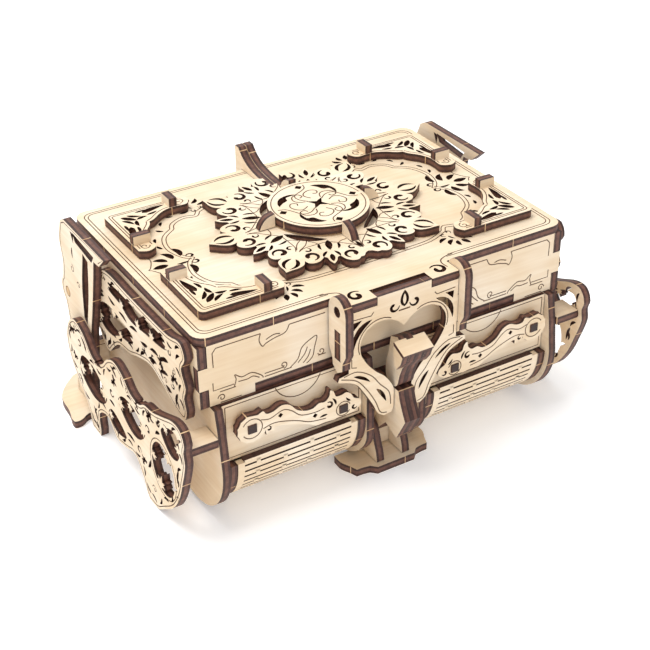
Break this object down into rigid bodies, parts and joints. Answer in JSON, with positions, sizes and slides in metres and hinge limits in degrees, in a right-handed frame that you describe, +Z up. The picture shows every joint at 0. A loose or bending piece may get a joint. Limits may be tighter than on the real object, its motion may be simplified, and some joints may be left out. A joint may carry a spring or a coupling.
{
  "type": "wooden puzzle casket",
  "caption": "Laser-cut plywood casket puzzle: hinged lid with lace plates and rosette, heart lock plate with tilting latch, belly-front sliding drawers and scalloped sides.",
  "frame": {"origin": "on the table, under the middle of the bounding box", "axes": "+X to the right of someone facing the casket's front, +Y from the front to the back, +Z up; the lock and the drawers face -Y"},
  "size_m": [0.1854, 0.1292, 0.088],
  "materials": {
    "birch_ply": "bare laser-cut birch plywood, matt, with dark charred edges",
    "birch_dowel": "bare round birch stick, matt"
  },
  "bodies": {
    "base": {"base_floor": "birch_ply", "left_end_wall": "birch_ply", "right_end_wall": "birch_ply", "left_centre_wall": "birch_ply", "right_centre_wall": "birch_ply", "compartment_front_wall": "birch_ply", "base_rear_wall": "birch_ply", "front_shelf": "birch_ply", "centre_front_plate": "birch_ply", "front_foot_plate": "birch_ply", "left_foot_fin": "birch_ply", "right_foot_fin": "birch_ply", "lock_column": "birch_ply", "left_front_panel": "birch_ply", "right_front_panel": "birch_ply", "left_ornate_bar": "birch_ply", "right_ornate_bar": "birch_ply", "left_base_lace": "birch_ply", "right_base_lace": "birch_ply", "left_rear_post": "birch_ply", "right_rear_post": "birch_ply", "left_rear_foot": "birch_ply", "right_rear_foot": "birch_ply", "left_hinge_pin": "birch_dowel", "right_hinge_pin": "birch_dowel", "left_side_tie": "birch_ply", "right_side_tie": "birch_ply"},
    "lid": {"lid_plate": "birch_ply", "lid_skirt": "birch_ply", "left_lid_wall": "birch_ply", "right_lid_wall": "birch_ply", "lid_rear_wall": "birch_ply", "left_lid_lace": "birch_ply", "right_lid_lace": "birch_ply", "corner_ornament_front_left": "birch_ply", "corner_ornament_front_right": "birch_ply", "corner_ornament_rear_left": "birch_ply", "corner_ornament_rear_right": "birch_ply", "rosette": "birch_ply", "medallion": "birch_ply", "medallion_fin_left": "birch_ply", "medallion_fin_front": "birch_ply", "medallion_fin_right": "birch_ply", "medallion_fin_rear": "birch_ply", "left_handle_ply": "birch_ply", "right_handle_ply": "birch_ply", "heart_plate": "birch_ply", "left_lock_bracket": "birch_ply", "right_lock_bracket": "birch_ply"},
    "left_drawer": {"left_drawer_outer_end": "birch_ply", "left_drawer_inner_end": "birch_ply", "left_drawer_belly": "birch_ply", "left_drawer_rear_board": "birch_ply"},
    "right_drawer": {"right_drawer_outer_end": "birch_ply", "right_drawer_inner_end": "birch_ply", "right_drawer_belly": "birch_ply", "right_drawer_rear_board": "birch_ply"},
    "latch": {"latch_claw": "birch_ply", "latch_cap": "birch_ply"}
  },
  "joints": [
    {"name": "lid_hinge", "type": "hinge", "parent": "base", "child": "lid", "pos_m": [0, 0.05144, 0.05], "axis": [-1, 0, 0], "range_deg": [0, 100]},
    {"name": "left_drawer_slide", "type": "slide", "parent": "base", "child": "left_drawer", "axis": [0, -1, 0], "range_m": [0, 0.034]},
    {"name": "right_drawer_slide", "type": "slide", "parent": "base", "child": "right_drawer", "axis": [0, -1, 0], "range_m": [0, 0.034]},
    {"name": "latch_pivot", "type": "hinge", "parent": "base", "child": "latch", "pos_m": [0, -0.05316, 0.0428], "axis": [1, 0, 0], "range_deg": [0, 25]}
  ]
}
